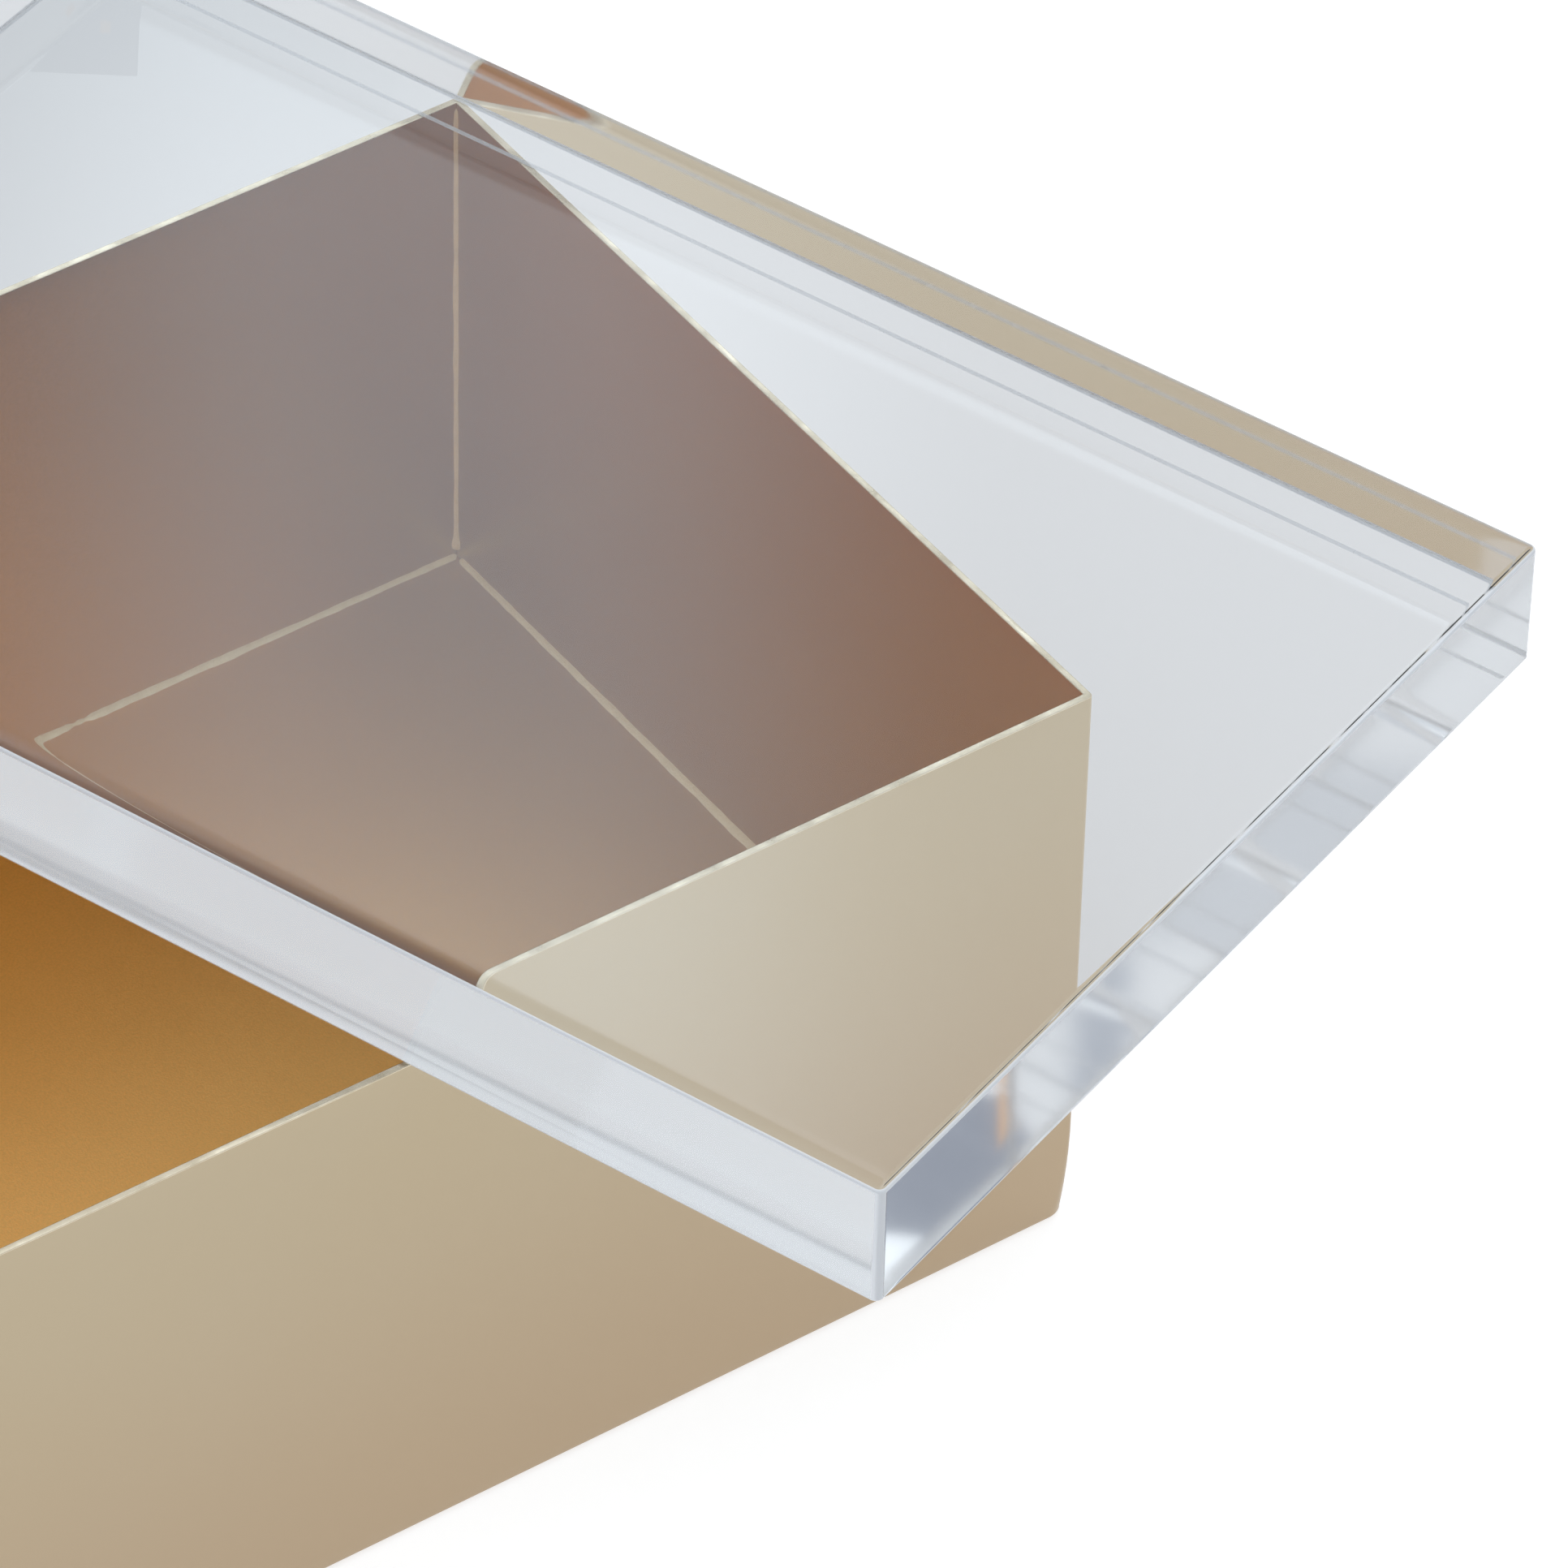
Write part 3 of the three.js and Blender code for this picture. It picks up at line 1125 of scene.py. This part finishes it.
class GILTBOX_OT_studio(bpy.types.Operator):
    """Set the floor, the soft light and the camera"""

    bl_idname = "giltbox.studio"
    bl_label = "Studio"

    def execute(self, context):
        scene = context.scene
        settings = scene.gilt_studio
        floor_size = 12.0
        ground_z, table_z = -0.05 * MM, -0.3 * MM
        studio_sheet(
            "studio_ground", floor_size, floor_size, Matrix.Translation((0, 0, ground_z)),
            backlit_opal_sheet(), ("transmission", "diffuse", "shadow"),
        )
        studio_sheet(
            "studio_table", floor_size, floor_size, Matrix.Translation((0, 0, table_z)),
            backlit_table(settings), ("camera", "diffuse", "glossy", "shadow"),
        )
        painted_lid_patches()
        soft_surround(scene, settings)
        set_camera(scene)
        scene.view_settings.view_transform = "Standard"
        scene.cycles.max_bounces = 24
        scene.cycles.transmission_bounces = 24
        scene.cycles.glossy_bounces = 12
        scene.cycles.diffuse_bounces = 6
        return {"FINISHED"}


def painted_lid_patch(name, centre, facing, width, height, hex_colour):
    """A small glowing card held close behind the lid, which shows only through its acrylic as a painted
    reflection.

    It goes wherever the lid goes.
    """
    material, _, shader, _ = new_material(name)
    shader.inputs["Base Color"].default_value = linear("#000000")
    shader.inputs["Emission Color"].default_value = linear(hex_colour)
    shader.inputs["Emission Strength"].default_value = 1.0
    turned = facing.to_track_quat("Z", "Y").to_matrix().to_4x4()
    studio_sheet(
        name, width, height, Matrix.Translation(centre) @ turned, material,
        ("camera", "diffuse", "glossy", "shadow"), "lid",
    )


def aim_at(bearing, height):
    """The direction towards a bearing from the back, turning right, and a height, in degrees."""
    azimuth, climb = math.radians(bearing), math.radians(height)
    return (
        math.sin(azimuth) * math.cos(climb), math.cos(azimuth) * math.cos(climb), math.sin(climb)
    )


def painted_lid_patches():
    """Four glowing cards behind the lid's far end, painted reflections seen in its right side as patches,
    and one at its back.
    """
    middle = (LID_LOW + LID_HIGH) / 2
    lid_turn = Matrix.Rotation(LID_TURN, 3, "Z")
    end_x = -LID_LENGTH / 2
    # Each stands on a line from the far end's face. The line starts some way from the back corner
    # and has a bearing and a height. Then come the distance, the card's width and height, its colour.
    cards = [
        ("painted_patch_far_corner", 14 * MM, 37.5, 44, 15 * MM, 22 * MM, 20 * MM, "#757F92"),
        ("painted_glint_warm_edge", 1.6 * MM, 37.5, 44, 3 * MM, 1.4 * MM, 24 * MM, "#D9A468"),
        ("painted_patch_far_end", 21 * MM, -78, 43, 40 * MM, 7 * MM, 24 * MM, "#98A1B0"),
        ("painted_patch_long_end", 66 * MM, -79, 42.5, 48 * MM, 60 * MM, 30 * MM, "#C8CDD4"),
    ]
    for name, from_corner, bearing, height, reach, width, tall, hex_colour in cards:
        exit_point = middle + lid_turn @ Vector((end_x, LID_WIDTH / 2 - from_corner, 0))
        away = Vector(aim_at(bearing, height))
        painted_lid_patch(name, exit_point + away * reach, -away, width, tall, hex_colour)
    # A long glowing card close behind the back side keeps the softbox out of the front side's lower edge,
    # painting a pale reflection there.
    back_gap = 3 * MM
    climb = 2 * MM
    back = lid_turn @ Vector((0, 1, 0))
    behind = middle + back * (LID_WIDTH / 2 + back_gap) + Vector((0, 0, climb))
    card_height = LID_HIGH.z - LID_LOW.z + 2 * climb
    painted_lid_patch("painted_backing_back_side", behind, -back, LID_LENGTH, card_height, "#DCE0E4")


def light_lobe(tree, direction, bearing, height, inner_angle, outer_angle):
    """A soft round patch of sky: 1 within the inner angle of its aim, 0 beyond the outer angle.

    All four angles are in degrees.
    """
    aim = aim_at(bearing, height)
    facing = add_node(
        tree, "ShaderNodeVectorMath", {0: direction, 1: aim}, operation="DOT_PRODUCT"
    )
    angle = add_node(
        tree, "ShaderNodeMath", {0: facing.outputs["Value"]}, operation="ARCCOSINE"
    )
    lobe = add_node(
        tree,
        "ShaderNodeMapRange",
        {
            "Value": angle.outputs["Value"],
            "From Min": math.radians(outer_angle),
            "From Max": math.radians(inner_angle),
        },
        interpolation_type="SMOOTHSTEP",
    )
    return lobe.outputs["Result"]


def tall_softbox(tree, direction):
    """A tall narrow softbox at the back right, whose soft edges fall off over a few degrees."""
    bearing, height = 33.6, 42
    inner_half_width, outer_half_width = 0.6, 3.1
    inner_reach, outer_reach = 12, 24
    azimuth = math.radians(bearing)
    sideways = (math.cos(azimuth), -math.sin(azimuth), 0)
    offset = add_node(
        tree, "ShaderNodeVectorMath", {0: direction, 1: sideways}, operation="DOT_PRODUCT"
    )
    distance = add_node(
        tree, "ShaderNodeMath", {0: offset.outputs["Value"]}, operation="ABSOLUTE"
    )
    strip = add_node(
        tree,
        "ShaderNodeMapRange",
        {
            "Value": distance.outputs["Value"],
            "From Min": math.sin(math.radians(outer_half_width)),
            "From Max": math.sin(math.radians(inner_half_width)),
        },
        interpolation_type="SMOOTHSTEP",
    )
    reach = light_lobe(tree, direction, bearing, height, inner_reach, outer_reach)
    box = add_node(
        tree, "ShaderNodeMath", {0: strip.outputs["Result"], 1: reach}, operation="MULTIPLY"
    )
    return box.outputs["Value"]


def soft_surround(scene, settings):
    """A pale surround, a wide light overhead and one softbox high at the back right."""
    world = bpy.data.worlds.new("soft_surround")
    world.use_nodes = True
    scene.world = world
    tree = world.node_tree
    background = tree.nodes["Background"]
    direction = add_node(tree, "ShaderNodeTexCoord").outputs["Generated"]
    softbox = tall_softbox(tree, direction)
    straight_up, overhead_inner, overhead_outer = 90, 5, 60
    overhead = light_lobe(tree, direction, 0, straight_up, overhead_inner, overhead_outer)
    total = tuple(settings.surround_colour)[:3]
    glow = tuple(settings.softbox_colour)[:3]
    for lobe, gain in ((softbox, settings.softbox_gain), (overhead, settings.overhead_gain)):
        strength = add_node(tree, "ShaderNodeMath", {0: lobe, 1: gain}, operation="MULTIPLY")
        total = add_node(
            tree,
            "ShaderNodeVectorMath",
            {0: strength.outputs["Value"], 1: glow, 2: total},
            operation="MULTIPLY_ADD",
        ).outputs["Vector"]
    tree.links.new(total, background.inputs["Color"])


def set_camera(scene):
    """A long lens that looks down over the box's front right corner from the front left."""
    azimuth = math.radians(-36.024)
    elevation = math.radians(42.286)
    roll = math.radians(1.454)
    distance = 1448.3 * MM
    aim_left = 38.94 * MM
    aim_down = 4.38 * MM
    corner = Vector((HALF_LENGTH, -HALF_WIDTH, RIM_Z))
    forward = Vector((
        -math.sin(azimuth) * math.cos(elevation),
        math.cos(azimuth) * math.cos(elevation),
        -math.sin(elevation),
    ))
    level_right = forward.cross(Vector((0, 0, 1))).normalized()
    level_up = level_right.cross(forward)
    right = level_right * math.cos(roll) + level_up * math.sin(roll)
    up = level_up * math.cos(roll) - level_right * math.sin(roll)
    place = corner - forward * distance - right * aim_left - up * aim_down
    camera = bpy.data.objects.new("studio_camera", bpy.data.cameras.new("studio_camera"))
    camera.data.sensor_width = 36
    camera.data.lens = 262.3
    camera.data.clip_start = 10 * MM
    camera.data.clip_end = 50
    turned = Matrix((right, up, -forward)).transposed().to_4x4()
    camera.matrix_world = Matrix.Translation(place) @ turned
    scene.collection.objects.link(camera)
    scene.camera = camera


# ---- Panel and registration ----


OPERATORS = (
    GILTBOX_OT_studio,
    GILTBOX_OT_walls,
    GILTBOX_OT_floor,
    GILTBOX_OT_solder,
    GILTBOX_OT_pad,
    GILTBOX_OT_lid,
)


class GILTBOX_PT_panel(bpy.types.Panel):
    """Lists the box's settings and the operators that build it"""

    bl_label = "Gilt Box"
    bl_space_type = "VIEW_3D"
    bl_region_type = "UI"
    bl_category = "Gilt Box"

    def draw(self, context):
        layout = self.layout
        for name, group in SETTINGS.items():
            box = layout.box()
            box.label(text=group.__doc__)
            for prop in group.__annotations__:
                box.prop(getattr(context.scene, name), prop)
        for operator in OPERATORS:
            layout.operator(operator.bl_idname)


def register():
    for name, group in SETTINGS.items():
        bpy.utils.register_class(group)
        setattr(bpy.types.Scene, name, bpy.props.PointerProperty(type=group))
    for operator in OPERATORS:
        bpy.utils.register_class(operator)
    bpy.utils.register_class(GILTBOX_PT_panel)


def unregister():
    bpy.utils.unregister_class(GILTBOX_PT_panel)
    for operator in reversed(OPERATORS):
        bpy.utils.unregister_class(operator)
    for name, group in reversed(SETTINGS.items()):
        delattr(bpy.types.Scene, name)
        bpy.utils.unregister_class(group)


def main():
    register()
    bpy.ops.giltbox.studio()
    bpy.ops.giltbox.walls()
    bpy.ops.giltbox.floor()
    bpy.ops.giltbox.solder()
    bpy.ops.giltbox.pad()
    bpy.ops.giltbox.lid()


if __name__ == "__main__":
    main()
